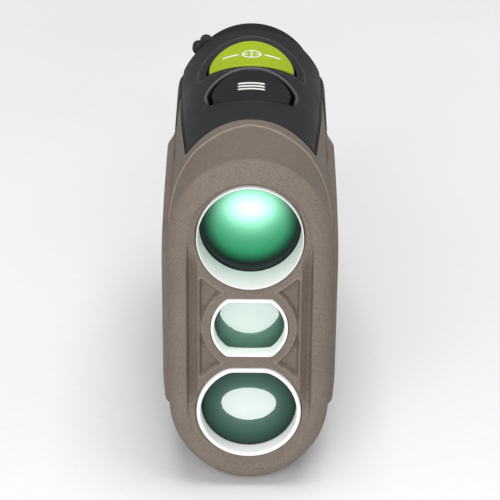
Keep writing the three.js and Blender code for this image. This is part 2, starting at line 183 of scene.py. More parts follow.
# ---------- meshes ----------
def mesh_object(name, verts, faces):
    mesh = bpy.data.meshes.new(name)
    mesh.from_pydata((np.asarray(verts) * MM).tolist(), [], faces)
    obj = bpy.data.objects.new(name, mesh)
    bpy.context.scene.collection.objects.link(obj)
    tidy = bmesh.new()
    tidy.from_mesh(mesh)
    bmesh.ops.remove_doubles(tidy, verts=tidy.verts, dist=1e-7)
    bmesh.ops.dissolve_degenerate(tidy, edges=tidy.edges, dist=1e-8)
    bmesh.ops.recalc_face_normals(tidy, faces=tidy.faces)
    tidy.to_mesh(mesh)
    tidy.free()
    return obj


def grid_faces(rows, columns, wrap_rows=False, wrap_columns=False, start=0, flip=False):
    faces = []
    for i in range(rows if wrap_rows else rows - 1):
        for j in range(columns if wrap_columns else columns - 1):
            k, m = (i + 1) % rows, (j + 1) % columns
            quad = [i * columns + j, i * columns + m, k * columns + m, k * columns + j]
            faces.append([start + q for q in (reversed(quad) if flip else quad)])
    return faces


def tube_solid(name, p, stations):
    """A closed body from rings round the case outline; each station is (r, y)."""
    rings = np.stack([case_point(p, r, y) for r, y in stations])
    verts = rings.reshape(-1, 3)
    return mesh_object(name, verts, grid_faces(len(stations), len(p), wrap_columns=True))


def patch_solid(name, p, y, outer):
    """A closed shell over part of the case: outer is a radius for each (y, p).

    The patch is closed towards one point inside it, and the case's hollow then cut away."""
    rows, columns = len(y), len(p)
    pp, yy = np.meshgrid(p, y)
    top = case_point(pp, outer, yy).reshape(-1, 3)
    border = list(range(columns))
    border += [i * columns + columns - 1 for i in range(1, rows)]
    border += [(rows - 1) * columns + j for j in range(columns - 2, -1, -1)]
    border += [i * columns for i in range(rows - 2, 0, -1)]
    middle = [0, (y[0] + y[-1]) / 2, HIGH_Z if p[0] * p[-1] < 0 else (LOW_Z + HIGH_Z) / 2]
    faces = grid_faces(rows, columns)
    faces += [[b, a, rows * columns] for a, b in zip(border, border[1:] + border[:1])]
    obj = mesh_object(name, np.concatenate([top, [middle]]), faces)
    return combine(obj, inner_core("core", SKIN_INNER_R, 2.6, 40))


def prism(name, points, axis, low, high):
    """An outline in the two other axes, pushed from low to high along axis."""
    points = np.asarray(points, float)
    count = len(points)
    order = {"x": (2, 0, 1), "y": (0, 2, 1), "z": (0, 1, 2)}[axis]
    layers = []
    for level in (low, high):
        layer = np.column_stack([points, np.full(count, level)])
        layers.append(layer[:, list(order)])
    faces = [list(range(count)), list(range(2 * count - 1, count - 1, -1))]
    faces += [[i, (i + 1) % count, count + (i + 1) % count, count + i] for i in range(count)]
    return mesh_object(name, np.concatenate(layers), faces)


def turned(name, profile, x=0.0, z=0.0, segments=128, ripple=None, upright=False):
    """A closed profile of (radius, y) turned about an axis along Y, or of (radius, z) about Z."""
    profile = np.asarray(profile, float)
    angle = np.linspace(0, 2 * math.pi, segments, endpoint=False)
    r = np.repeat(profile[:, :1], segments, axis=1)
    y = np.repeat(profile[:, 1:], segments, axis=1)
    if ripple is not None:
        r = r + ripple(r, y, angle[None, :])
    across, along = x + r * np.cos(angle), z + r * np.sin(angle)
    verts = np.stack([across, along, y] if upright else [across, y, along], axis=-1)
    closed = profile[0, 0] > 1e-9
    faces = grid_faces(len(profile), segments, wrap_rows=closed, wrap_columns=True)
    return mesh_object(name, verts.reshape(-1, 3), faces)


def lofted(name, rings, wrap=False):
    """A closed body through matching rings; wrap joins the last ring to the first."""
    rings = [np.asarray(ring, float) for ring in rings]
    if not wrap:
        first, last = (np.repeat(r.mean(axis=0)[None], len(r), axis=0)
                       for r in (rings[0], rings[-1]))
        rings = [first] + rings + [last]
    return mesh_object(name, np.concatenate(rings),
                       grid_faces(len(rings), len(rings[0]), wrap_rows=wrap, wrap_columns=True))


def soft_profile(points, radius, steps=5):
    """Rounds the corners of an open or closed profile of (radius, y)."""
    points = [np.asarray(p, float) for p in points]
    closed = points[0][0] > 1e-9
    count = len(points)
    out = []
    for i, corner in enumerate(points):
        if not closed and i in (0, count - 1):
            out.append(corner)
            continue
        before = points[i - 1] - corner
        after = points[(i + 1) % count] - corner
        reach = min(radius, 0.45 * np.linalg.norm(before), 0.45 * np.linalg.norm(after))
        a = corner + before / np.linalg.norm(before) * reach
        b = corner + after / np.linalg.norm(after) * reach
        for t in np.linspace(0, 1, steps):
            out.append((1 - t) ** 2 * a + 2 * t * (1 - t) * corner + t * t * b)
    return np.array(out)


def circle(radius, x=0.0, z=0.0, count=128, top=99.0, bottom=99.0, softness=0.14):
    """A circle, with an optional flat above and below that meets it in soft corners."""
    angle = np.linspace(0, 2 * math.pi, count, endpoint=False)
    height = np.sin(angle)
    flat = np.where(height > 0, top, bottom) / np.maximum(np.abs(height), 1e-6)
    reach = -softness * np.logaddexp(-radius / softness, -flat / softness)
    return np.column_stack([x + reach * np.cos(angle), z + reach * height])


def joined(name, pieces):
    """Several meshes as one object."""
    verts, faces = [], []
    for piece in pieces:
        start = len(verts)
        verts += [v.co / MM for v in piece.data.vertices]
        faces += [[start + i for i in f.vertices] for f in piece.data.polygons]
        bpy.data.objects.remove(piece)
    return mesh_object(name, [tuple(v) for v in verts], faces)


def bake(obj):
    graph = bpy.context.evaluated_depsgraph_get()
    mesh = bpy.data.meshes.new_from_object(obj.evaluated_get(graph))
    obj.modifiers.clear()
    obj.data = mesh


def combine(obj, tool, operation="DIFFERENCE"):
    modifier = obj.modifiers.new("combine", "BOOLEAN")
    modifier.operation = operation
    modifier.solver = "MANIFOLD"
    modifier.object = tool
    bake(obj)
    bpy.data.objects.remove(tool)
    return obj


def smooth(obj, degrees=38):
    obj.data.polygons.foreach_set("use_smooth", [True] * len(obj.data.polygons))
    obj.data.set_sharp_from_angle(angle=math.radians(degrees))
    return obj


# ---------- materials ----------
HIGHLIGHT_ATTRIBUTE = "wear"


def mark_painted_highlight(obj, amount):
    """Marks where a painted highlight goes: amount gives 0 to 1 from the x, y and z of each vertex,
    in mm.
    """
    at = np.array([v.co for v in obj.data.vertices]) / MM
    layer = obj.data.attributes.new(HIGHLIGHT_ATTRIBUTE, "FLOAT", "POINT")
    layer.data.foreach_set("value", np.clip(amount(*at.T), 0, 1).astype(np.float32))


def new_material(name):
    material = bpy.data.materials.new(name)
    material.use_nodes = True
    tree = material.node_tree
    return material, tree, tree.nodes["Principled BSDF"]


def noise(tree, vector, size_mm, detail):
    node = tree.nodes.new("ShaderNodeTexNoise")
    node.inputs["Scale"].default_value = 1 / (size_mm * MM)
    node.inputs["Detail"].default_value = detail
    tree.links.new(vector, node.inputs["Vector"])
    return node.outputs["Fac"]


def ramp(tree, value, stops):
    node = tree.nodes.new("ShaderNodeValToRGB")
    elements = node.color_ramp.elements
    while len(elements) < len(stops):
        elements.new(0.5)
    for element, (position, colour) in zip(elements, stops):
        element.position = position
        element.color = (*colour, 1)
    tree.links.new(value, node.inputs["Fac"])
    return node.outputs["Color"]


def ranged(tree, value, low, high, from_low=0.3, from_high=0.7):
    node = tree.nodes.new("ShaderNodeMapRange")
    node.inputs["From Min"].default_value = from_low
    node.inputs["From Max"].default_value = from_high
    node.inputs["To Min"].default_value = low
    node.inputs["To Max"].default_value = high
    tree.links.new(value, node.inputs["Value"])
    return node.outputs["Result"]


def shaded(colour, factor):
    return tuple(min(1.0, c * factor) for c in colour)


def mixed(tree, a, b, factor, blend="MULTIPLY"):
    node = tree.nodes.new("ShaderNodeMix")
    node.data_type = "RGBA"
    node.blend_type = blend
    node.inputs["Factor"].default_value = factor
    tree.links.new(a, node.inputs["A"])
    tree.links.new(b, node.inputs["B"])
    return node.outputs["Result"]


def grained(name, colour, roughness, grain_mm, depth_mm, contrast=0.12, patch_mm=9.0,
            metallic=0.0, specular=0.5, highlight_colour=None):
    """A moulded or machined surface: fine grain, slow colour drift and matching roughness.

    Its last argument is the colour of a painted highlight, added where a piece marks its edges and
    lips."""
    material, tree, shader = new_material(name)
    place = tree.nodes.new("ShaderNodeTexCoord").outputs["Object"]
    grain = noise(tree, place, grain_mm, 4.0)
    drift = noise(tree, place, patch_mm, 2.0)
    fine = ramp(tree, grain, [(0.3, shaded(colour, 1 - contrast)),
                              (0.7, shaded(colour, 1 + contrast))])
    slow = ramp(tree, drift, [(0.3, (0.9, 0.9, 0.9)), (0.7, (1, 1, 1))])
    colour_out = mixed(tree, fine, slow, 1.0)
    # Painted highlight: the marked edges and lips gain the given paler colour.
    if highlight_colour:
        highlight_mask = tree.nodes.new("ShaderNodeAttribute")
        highlight_mask.attribute_name = HIGHLIGHT_ATTRIBUTE
        highlight_gain = ramp(tree, highlight_mask.outputs["Fac"], [(0.0, (0, 0, 0)), (1.0, highlight_colour)])
        colour_out = mixed(tree, colour_out, highlight_gain, 1.0, "ADD")
    tree.links.new(colour_out, shader.inputs["Base Color"])
    tree.links.new(ranged(tree, drift, roughness - 0.06, roughness + 0.06),
                   shader.inputs["Roughness"])
    bump = tree.nodes.new("ShaderNodeBump")
    bump.inputs["Strength"].default_value = 1.0
    bump.inputs["Distance"].default_value = depth_mm * MM
    tree.links.new(grain, bump.inputs["Height"])
    tree.links.new(bump.outputs["Normal"], shader.inputs["Normal"])
    shader.inputs["Metallic"].default_value = metallic
    shader.inputs["Specular IOR Level"].default_value = specular
    return material


def coated_lens_painted_shade(name, stops, radius_mm, z_mm, roughness, coat_roughness, coat, specular=0.3,
                halo=(1, 1, 1)):
    """Coated glass over a dark interior, with painted shade: its colour darkens towards the edge of
    the lens.

    stops are its colours from the middle to the darkened edge, and halo tints what it reflects."""
    material, tree, shader = new_material(name)
    place = tree.nodes.new("ShaderNodeTexCoord").outputs["Object"]
    split = tree.nodes.new("ShaderNodeSeparateXYZ")
    tree.links.new(place, split.inputs["Vector"])
    lowered = tree.nodes.new("ShaderNodeMath")
    lowered.operation = "SUBTRACT"
    lowered.inputs[1].default_value = z_mm * MM
    tree.links.new(split.outputs["Z"], lowered.inputs[0])
    flat = tree.nodes.new("ShaderNodeCombineXYZ")
    tree.links.new(split.outputs["X"], flat.inputs["X"])
    tree.links.new(lowered.outputs["Value"], flat.inputs["Z"])
    length = tree.nodes.new("ShaderNodeVectorMath")
    length.operation = "LENGTH"
    tree.links.new(flat.outputs["Vector"], length.inputs[0])
    along = ranged(tree, length.outputs["Value"], 0, 1, 0, radius_mm * MM)
    # Painted shade: the colour darkens from the lens's middle to its edge.
    edge_shaded_tint = ramp(tree, along, stops)
    haze = ramp(tree, noise(tree, place, 3.0, 2.0), [(0.3, (0.93, 0.93, 0.93)), (0.7, (1, 1, 1))])
    tree.links.new(mixed(tree, edge_shaded_tint, haze, 1.0), shader.inputs["Base Color"])
    shader.inputs["Roughness"].default_value = roughness
    shader.inputs["Coat Weight"].default_value = coat
    shader.inputs["Coat Roughness"].default_value = coat_roughness
    shader.inputs["Specular IOR Level"].default_value = specular
    shader.inputs["Specular Tint"].default_value = (*halo, 1)
    return material


# Each line: colour, roughness, size and depth of the grain in mm, its contrast, and the size
# in mm of the slow drift in colour.
# The extra colour given to the first two is a painted highlight along the edges and lips that a
# piece marks.
taupe_rubber = grained("taupe_rubber", (0.196, 0.16, 0.133), 0.72, 0.35, 0.05, 0.2, 12,
                       specular=0.2, highlight_colour=(0.12, 0.095, 0.075))
black_shell = grained("black_shell", (0.029, 0.0295, 0.0315), 0.55, 0.22, 0.03, 0.2,
                      specular=0.1, highlight_colour=(0.1, 0.1, 0.1))
key_black = grained("key_black", (0.016, 0.0165, 0.0195), 0.5, 0.18, 0.02, 0.2, specular=0.15)
lime_key = grained("lime_key", (0.37, 0.51, 0.008), 0.45, 0.2, 0.015, 0.04, 14, specular=0.25)
white_paint = grained("white_paint", (0.88, 0.9, 0.87), 0.5, 0.15, 0.005, 0.04)
white_bezel = grained("white_bezel", (0.9, 0.9, 0.885), 0.38, 0.3, 0.006, 0.03, 14, specular=0.4)
black_metal = grained("black_metal", (0.011, 0.011, 0.0125), 0.42, 0.12, 0.008, 0.15, specular=0.3)
black_rubber = grained("black_rubber", (0.017, 0.017, 0.019), 0.78, 0.3, 0.03, 0.25, specular=0.2)
steel = grained("steel", (0.5, 0.51, 0.53), 0.3, 0.1, 0.004, 0.08, metallic=1.0)
brass = grained("brass", (0.56, 0.36, 0.11), 0.3, 0.1, 0.004, 0.08, metallic=1.0)
board_green = grained("board_green", (0.014, 0.1, 0.042), 0.45, 0.3, 0.01, 0.1)
chip_black = grained("chip_black", (0.014, 0.014, 0.017), 0.6, 0.1, 0.01, 0.2)
cell_jacket = grained("cell_jacket", (0.05, 0.07, 0.09), 0.4, 0.3, 0.004, 0.1)
flex_amber = grained("flex_amber", (0.46, 0.18, 0.02), 0.35, 0.3, 0.004, 0.1)
floor_white = grained("floor_white", (0.93, 0.93, 0.93), 0.8, 2.0, 0.05, 0.01, 200, specular=0.2)

# Each lens's colours darken from its middle to its edge: painted shade.
objective_glass = coated_lens_painted_shade(
    "objective_glass",
    [(0.0, (0.0, 0.27, 0.1)), (0.7, (0.0, 0.25, 0.092)), (0.9, (0.0, 0.09, 0.034)),
     (1.0, (0.0, 0.01, 0.004))],
    10.4, OBJECTIVE_Z, roughness=0.42, coat_roughness=0.4, coat=0.0, specular=0.4,
    halo=(0.54, 1.0, 0.8))
receiver_glass = coated_lens_painted_shade(
    "receiver_glass",
    [(0.0, (0.06, 0.155, 0.11)), (0.6, (0.036, 0.1, 0.07)), (0.9, (0.018, 0.055, 0.04)),
     (1.0, (0.008, 0.028, 0.02))],
    10.15, RECEIVER_Z, roughness=0.3, coat_roughness=0.03, coat=0.35, specular=0.03)
emitter_glass = coated_lens_painted_shade(
    "emitter_glass",
    [(0.0, (0.085, 0.2, 0.14)), (0.7, (0.05, 0.13, 0.09)), (1.0, (0.022, 0.065, 0.045))],
    7.2, EMITTER_Z, roughness=0.3, coat_roughness=0.03, coat=0.35, specular=0.03)
clear_glass = coated_lens_painted_shade(
    "clear_glass", [(0.0, (0.3, 0.36, 0.36)), (1.0, (0.2, 0.26, 0.27))], 12, EYEPIECE_Z,
    roughness=0.06, coat_roughness=0.06, coat=0.4)
eye_glass = coated_lens_painted_shade(
    "eye_glass",
    [(0.0, (0.03, 0.02, 0.05)), (0.7, (0.02, 0.016, 0.045)), (1.0, (0.006, 0.006, 0.012))],
    9.2, EYEPIECE_Z, roughness=0.1, coat_roughness=0.03, coat=1.0)


def dress(obj, material, body="root", replaced=()):
    """Gives a piece its material, its body and the CAD nodes that it stands for."""
    obj.data.materials.clear()
    obj.data.materials.append(material)
    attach(obj, body)
    if replaced:
        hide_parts(*replaced)
    return obj


# ---------- outlines that divide the skin ----------
def top_outline(margin=0.0):
    """The black top cover, seen from above, as (x, y)."""
    side = [(14, -22.6), (15.3, -5.5), (15.9, 3.5), (16.45, 13.5), (16.9, 20), (16.9, 36)]
    crescent_y = -20.1
    tip_x, tip_y = side[0]
    t = np.linspace(-1, 1, 41)
    front = [(tip_x * s, crescent_y + (tip_y - crescent_y) * s * s) for s in t]
    right = side[1:]
    left = [(-x, y) for x, y in reversed(side[1:])]
    points = np.array(front + right + left)
    grown = points.copy()
    grown[:, 0] += np.sign(points[:, 0]) * margin
    grown[:len(front), 1] -= margin
    return grown


def armour_outline(margin=0.0):
    """The rubber front, seen from the side, as (y, z)."""
    edge = [(-41.8, 30), (-41.8, 49), (-39.7, 54.1), (-35.6, 57.2), (-22, 59.6), (-5.5, 60.7),
            (8.9, 59.6), (20.3, 62.9)]
    moved = [(y + margin, z - (margin if i > 1 else 0)) for i, (y, z) in enumerate(edge)]
    far = FRONT_Y - 3
    return np.array([(-41.8 + margin, -2)] + moved + [
        (20.3 + margin, HEIGHT + 2), (far, HEIGHT + 2), (far, -2)])


def pad_outline(margin=0.0):
    """A side grip pad, seen from the side, as (y, z)."""
    points = [(22, 15.4), (26.5, 20), (26.5, 47), (23.5, 51), (9, 59.4), (-5.5, 60.5), (-22, 59.4),
              (-35.5, 57), (-39.5, 54), (-41.6, 49), (-41.6, 15.4)]
    middle = np.array([-10.0, 38.0])
    shape = soft_profile(points, 1.6)
    away = shape - middle
    return shape + away / np.linalg.norm(away, axis=1)[:, None] * margin


def key_outline(key, margin=0.0):
    """A top key, seen from above, as (x, y): half an ellipse behind, a shallow arc in front."""
    t = np.linspace(0, math.pi, 49)
    back = [((key["half"] + margin) * math.cos(a),
             key["centre"] + (key["back"] + margin) * math.sin(a)) for a in t]
    s = np.linspace(-1, 1, 25)
    front_half = key["front_half"] + margin
    front_y = key["front"] - margin
    corner = key["corner"]
    front = [(front_half * u, front_y + (corner - front_y) * u * u) for u in s]
    return np.array(back + front)


MEASURE = {"centre": 14.3, "half": 10.25, "back": 10.6, "front_half": 10.2, "corner": 11.7,
           "front": 9.9}
MENU_HOLE = {"centre": -2, "half": 9.9, "back": 9.5, "front_half": 9.3, "corner": -7.3,
             "front": -10.5}
MEASURE_CAP = {"centre": 14.3, "half": 9.85, "back": 10.5, "front_half": 9.75, "corner": 11.7,
               "front": 9.85}
MENU_CAP = {"centre": -2, "half": 8.9, "back": 9.3, "front_half": 8.3, "corner": -7.3,
            "front": -10.4}


# ---------- front armour ----------
def pocket_distance(x, z):
    """How far outside the four pockets of the web each point of the face is."""
    up = np.hypot(x, z - OBJECTIVE_Z)
    mid = np.hypot(x, z - EMITTER_Z)
    low = np.hypot(x, z - RECEIVER_Z)
    return smooth_max([np.abs(x) - 10.45, 10.3 - mid, 13.5 - up, 13.4 - low, z - 50.6, 28.0 - z],
                      0.16)


def face_relief(x, z):
    """How far the face lies behind the bumper's crest, inside the crest line."""
    across = np.abs(x)
    up = np.hypot(x, z - OBJECTIVE_Z)
    low = np.hypot(x, z - RECEIVER_Z)
    d = np.hypot(x, z - np.clip(z, LOW_Z, HIGH_Z))
    depth = PLATE_DEPTH * smoothstep(CREST_D, CREST_D - 1.0, d)
    depth = np.maximum(depth, 0.55 * smoothstep(13.3, 11.9, up))
    groove = np.clip((across - 11.0) / 1.9, 0, 1) ** 0.8 * smoothstep(13.4, 12.9, across)
    groove *= smoothstep(17, 24, z) * smoothstep(60, 52, z)
    depth = depth + 2.0 * groove
    pocket = pocket_distance(x, z)
    depth = depth + 1.05 * smoothstep(0.14, -0.3, pocket)
    bead = 0.36 * np.exp(-((pocket - 0.42) / 0.24) ** 2) * (across > 5)
    upper_hole = up - BEZEL_R
    lower_hole = low - BEZEL_R
    lip = fillet(np.clip(upper_hole - 0.2, 0, 9), 0.5) * (upper_hole < 2)
    lip = np.maximum(lip, fillet(np.clip(lower_hole - 0.2, 0, 9), 0.5) * (z < RECEIVER_Z + 10.4))
    return depth - bead + lip


def bead_y(p):
    """The raised line that runs round the hood, as y along the outline."""
    degrees = np.array([0, 19, 33, 45, 62, 65, 77, 90])
    y = np.array([-23.7, -25.1, -26.4, -27.3, -30.3, -31.5, -34.1, -37.0])
    at = np.append(np.radians(degrees) * SKIN_R, QUARTER + 9)
    return np.interp(np.abs(p), at, np.append(y, -40.5))


def front_edge(p):
    """The bumper's outer edge as (r, y offset) rings, from the crest to the side wall."""
    top_part = 1 - smoothstep(math.radians(36), math.radians(72), np.abs(p) / SKIN_R)
    scale = 1 - NARROWING
    crest = CREST_D / scale
    roll = ROLL + TOE_ROLL * smoothstep(66, 84, np.abs(p))
    rings = []
    for q in np.linspace(0, 1, 30)[1:]:
        side_r = crest + (SKIN_R - crest) * math.sin(q * math.pi / 2)
        side_e = roll * (1 - math.cos(q * math.pi / 2))
        if q < 0.7:
            top_r = crest + (SKIN_R - 0.5 - crest) * q / 0.7
            top_e = TOP_BEVEL * (q / 0.7) ** 1.15
        else:
            turn = (q - 0.7) / 0.3 * math.pi / 2
            top_r = SKIN_R - 0.5 + 0.5 * math.sin(turn)
            top_e = TOP_BEVEL + 0.25 * math.sin(turn) + 0.55 * (1 - math.cos(turn))
        r = top_part * top_r + (1 - top_part) * side_r
        e = top_part * top_e + (1 - top_part) * side_e
        rings.append((r, e))
    return rings


def front_solid(name, p, rear, relief):
    """The whole nose as one closed body, with close rings along the hood's raised line."""
    stations = []
    scale = 1 - NARROWING
    for r in np.linspace(0, CREST_D / scale, 84):
        at = case_point(p, r, FRONT_Y)
        stations.append((r, face_y(at[:, 2]) + face_relief(at[:, 0], at[:, 2])))
    for r, e in front_edge(p):
        at = case_point(p, r, FRONT_Y)
        stations.append((r, face_y(at[:, 2]) + e))
    edge = stations[-1][1]
    line = np.maximum(bead_y(p), edge + 1.2)
    for start, end, count in ((edge, line - 0.9, 40), (line - 0.9, line + 0.9, 20),
                              (line + 0.9, rear, 150)):
        for t in np.linspace(0, 1, count)[1:]:
            y = start + (end - start) * t
            stations.append((SKIN_R - relief(p, y), y))
    stations.append((0.0, rear))
    return tube_solid(name, p, stations)


def wall_relief(p, y):
    at = case_point(p, SKIN_R, y)
    top = outline_distance(at[:, 0], at[:, 1], top_outline())
    side = outline_distance(at[:, 1], at[:, 2], armour_outline()[1:9])
    line = np.exp(-((y - bead_y(p)) / 0.2) ** 2)
    fade = smoothstep(QUARTER + 9, QUARTER + 2, np.abs(p))
    edges = fillet(top, 0.5) + fillet(side, 0.25)
    return edges + 0.36 * (1 - line * fade) * smoothstep(0, 3, y - FRONT_Y - 6)


def inner_core(name, radius, inset, rear):
    """A coarse body inside the case, for hollowing it out."""
    p = np.linspace(-HALF_ROUND, HALF_ROUND, 240, endpoint=False)
    stations = []
    for r in np.linspace(0, radius, 6):
        at = case_point(p, r, FRONT_Y)
        stations.append((r, face_y(at[:, 2]) + inset))
    stations += [(radius, rear), (0.0, rear)]
    return tube_solid(name, p, stations)


def cut_lens_holes(obj, rear=FRONT_Y + 12):
    for shape in (circle(BEZEL_R + 0.18, 0, OBJECTIVE_Z),
                  circle(EMITTER_BEZEL_R + 0.18, 0, EMITTER_Z, top=6.9, bottom=6.9),
                  circle(BEZEL_R + 0.18, 0, RECEIVER_Z, top=10.75)):
        combine(obj, prism("cut", shape, "y", FRONT_Y - 3, rear))


def nose_painted_highlight(x, y, z):
    """Painted highlight: the raised line round the hood and the beads round the pockets are painted
    paler.
    """
    p = SKIN_R * np.arctan2(x, z - HIGH_Z)
    line = np.exp(-((y - bead_y(p)) / 0.28) ** 2) * (z > HIGH_Z) * (y > FRONT_Y + 4)
    pocket = pocket_distance(x, z)
    bead = 0.4 * np.exp(-((pocket - 0.42) / 0.26) ** 2) * (np.abs(x) > 5) * (y < FRONT_Y + 6)
    return np.maximum(line, bead)


def make_front_armour():
    p = np.linspace(-HALF_ROUND, HALF_ROUND, 600, endpoint=False)
    obj = front_solid("front_armour_skin", p, 20.6, wall_relief)
    combine(obj, inner_core("core", SKIN_INNER_R, 2.6, 40))
    cut_lens_holes(obj)
    combine(obj, prism("cut", armour_outline(), "x", -30, 30), "INTERSECT")
    combine(obj, prism("cut", top_outline(SLOT_GAP), "z", 63.1, HEIGHT + 5))
    # Painted highlight along the hood's raised line and the beads round the pockets.
    mark_painted_highlight(obj, nose_painted_highlight)
    return dress(smooth(obj), taupe_rubber, replaced=["front_armour"])


# ---------- top cover and keys ----------
def beyond(x, y, points):
    """Signed distance outside an outline: negative within it."""
    distance = outline_distance(x, y, points)
    return np.where(inside_outline(x, y, points), -distance, distance)


def cover_relief(x, y):
    """How far the cover lies below the domed skin: dishes and lips round the two keys."""
    measure = beyond(x, y, key_outline(MEASURE, 0.32))
    menu = beyond(x, y, key_outline(MENU_HOLE, 0.0))
    bridge = smoothstep(12.4, 10.6, y)
    width = 1.75 - 0.85 * bridge
    dish = 0.85 * (1 - smoothstep(0.1, 1.0, measure / width))
    dish_lip = 0.2 * np.exp(-((measure / width - 1.16) / 0.17) ** 2)
    rim = fillet(np.maximum(menu, 0), 0.55)
    rim_lip = 0.2 * np.exp(-((menu - 0.7) / 0.3) ** 2)
    lips = np.maximum(dish_lip, rim_lip)
    edge = fillet(outline_distance(x, y, top_outline()), 0.45)
    rear = fillet(np.maximum(CASE_REAR_Y - y, 0), 1.3)
    return 0.22 + dish + rim + edge + rear - lips


def cover_painted_highlight(x, y, z):
    """Painted highlight: the lips round the keys are painted paler, most of all on the bridge
    between them.
    """
    menu = beyond(x, y, key_outline(MENU_HOLE))
    measure = beyond(x, y, key_outline(MEASURE, 0.32))
    lip = np.exp(-((menu - 0.45) / 0.22) ** 2) * smoothstep(-7.5, -3, y)
    rim = 0.35 * np.exp(-((measure - 1.9) / 0.25) ** 2)
    return np.maximum(lip, rim) * (np.hypot(x, z - HIGH_Z) > SKIN_R - 1.3)


def make_top_cover():
    p = np.linspace(-22.6, 22.6, 280)
    y = np.concatenate([np.linspace(-24, 26, 290), np.linspace(26, CASE_REAR_Y, 50)[1:]])
    pp, yy = np.meshgrid(p, y)
    x = case_point(pp, SKIN_R, yy)[..., 0]
    obj = patch_solid("top_cover_skin", p, y, SKIN_R - cover_relief(x, yy))
    combine(obj, prism("cut", top_outline(), "z", 63.1, HEIGHT + 4), "INTERSECT")
    combine(obj, prism("cut", key_outline(MEASURE, 0.32), "z", 60, HEIGHT + 4))
    combine(obj, prism("cut", key_outline(MENU_HOLE), "z", 60, HEIGHT + 4))
    # Painted highlight on the lips round the keys.
    mark_painted_highlight(obj, cover_painted_highlight)
    return dress(smooth(obj), black_shell, replaced=["top_cover"])


def make_key(name, key, r, edge, post_y, material, body, node):
    """A domed key cap with a rounded rim and the post that presses its switch."""
    def ring(margin, drop):
        at = key_outline(key, -margin)
        return np.column_stack([at, skin_z(at[:, 0], at[:, 1], r) - drop])

    middle = np.array([0.0, key["front"] + 0.45 * (key["centre"] + key["back"] - key["front"])])

    def shrunk(margin, s, drop):
        at = middle + (key_outline(key, -margin) - middle) * s
        return np.column_stack([at, skin_z(at[:, 0], at[:, 1], r) - drop])

    rings = [shrunk(1.1, s, KEY_WALL) for s in np.linspace(0.05, 1, 14)]
    rings.append(ring(0.0, KEY_WALL))
    rings += [ring(edge * (1 - math.cos(a)), edge * (1 - math.sin(a)))
              for a in np.linspace(0, math.pi / 2, 9)]
    rings += [shrunk(edge, s, 0) for s in np.linspace(1, 0.03, 26)[1:]]
    obj = lofted(name, rings)
    post = turned("post", [(0, POST_Z), (1.5, POST_Z), (1.5, 75.0), (0, 75.0)], 0, post_y,
                  48, upright=True)
    combine(obj, post, "UNION")
    return dress(smooth(obj), material, body, [node])


def surface_bar(x0, x1, y0, y1, r, round_ends=True):
    """A thin painted bar that follows the key's dome."""
    x = np.linspace(x0, x1, 25)
    half = np.full(x.shape, (y1 - y0) / 2)
    if round_ends:
        reach = np.minimum(x - x0, x1 - x) / half[0]
        half = half * np.sqrt(np.clip(1 - np.clip(1 - reach, 0, 1) ** 2, 0.02, 1))
    middle = (y0 + y1) / 2
    outline = np.concatenate([
        np.column_stack([x, middle - half]), np.column_stack([x, middle + half])[::-1]])
    layers = [np.column_stack([outline, skin_z(outline[:, 0], outline[:, 1], r) + h])
              for h in (-0.06, 0.035)]
    count = len(outline)
    half_count = count // 2
    faces = []
    for layer, flip in ((0, True), (count, False)):
        for i in range(half_count - 1):
            quad = [layer + i, layer + i + 1, layer + count - 2 - i, layer + count - 1 - i]
            faces.append(quad[::-1] if flip else quad)
    faces += [[i, (i + 1) % count, count + (i + 1) % count, count + i] for i in range(count)]
    return mesh_object("bar", np.concatenate(layers), faces)


def surface_ring(x, y, outer, inner, r):
    a = np.linspace(0, 2 * math.pi, 64, endpoint=False)
    rings = []
    for radius, h in ((outer, 0.035), (inner, 0.035), (inner, -0.06), (outer, -0.06)):
        px, py = x + radius * np.cos(a), y + radius * np.sin(a)
        rings.append(np.column_stack([px, py, skin_z(px, py, r) + h]))
    return lofted("ring", rings, wrap=True)


def make_marks():
    """Generic marks: a sighting reticle on the lime key and three bars on the black key."""
    r = MEASURE_KEY_R
    y = 16.4
    reticle = [surface_ring(0, y, 2.3, 1.85, r), surface_ring(0, y, 0.42, 0.05, r),
               surface_bar(-6.8, -3.0, y - 0.36, y + 0.36, r),
               surface_bar(3.0, 6.8, y - 0.36, y + 0.36, r)]
    reticle += [surface_bar(-0.22, 0.22, y + s * 1.5 - 0.5, y + s * 1.5 + 0.5, r, False)
                for s in (-1, 1)]
    reticle += [surface_bar(s * 1.4 - 0.5, s * 1.4 + 0.5, y - 0.22, y + 0.22, r, False)
                for s in (-1, 1)]
    dress(joined("measure_reticle_mark", reticle), white_paint, "measure_key")
    r = MENU_KEY_R
    bars = [surface_bar(-3.1, 3.1, -2.1 + i * 1.6 - 0.4, -2.1 + i * 1.6 + 0.4, r)
            for i in (-1, 0, 1)]
    dress(joined("menu_bars_mark", bars), white_paint, "menu_key")


# ---------- grip pads ----------
PAD_GROOVES = [(-20 + 7 * i, 24 + i, 52 - 1.5 * i) for i in range(5)]


def pad_height(y, z):
    """How far the pad stands above the skin under it."""
    edge = outline_distance(y, z, pad_outline())
    slope_start, slope_end = np.array([23.5, 51.0]), np.array([9.0, 59.4])
    along = (slope_end - slope_start) / np.linalg.norm(slope_end - slope_start)
    below = (z - slope_start[1]) * along[0] - (y - slope_start[0]) * along[1]
    height = np.minimum(smoothstep(0, 1.2, edge), smoothstep(0.1, 4.0, below))
    height = np.minimum(height, smoothstep(-41.6, -39.6, y))
    height = 1.4 * np.minimum(height, np.clip((z - 15.4) / 1.3, 0, 1))
    for centre, low, high in PAD_GROOVES:
        lean = centre + 0.35 * (z - (low + high) / 2)
        groove = np.exp(-((y - lean) / 0.75) ** 4)
        height = height - 0.42 * groove * smoothstep(low, low + 1.4, z) * smoothstep(
            high, high - 1.4, z)
    panel = smoothstep(-38.6, -38.0, y) * smoothstep(-32.6, -33.2, y)
    panel *= smoothstep(27, 28, z) * smoothstep(52, 51, z)
    return height - 0.3 * panel


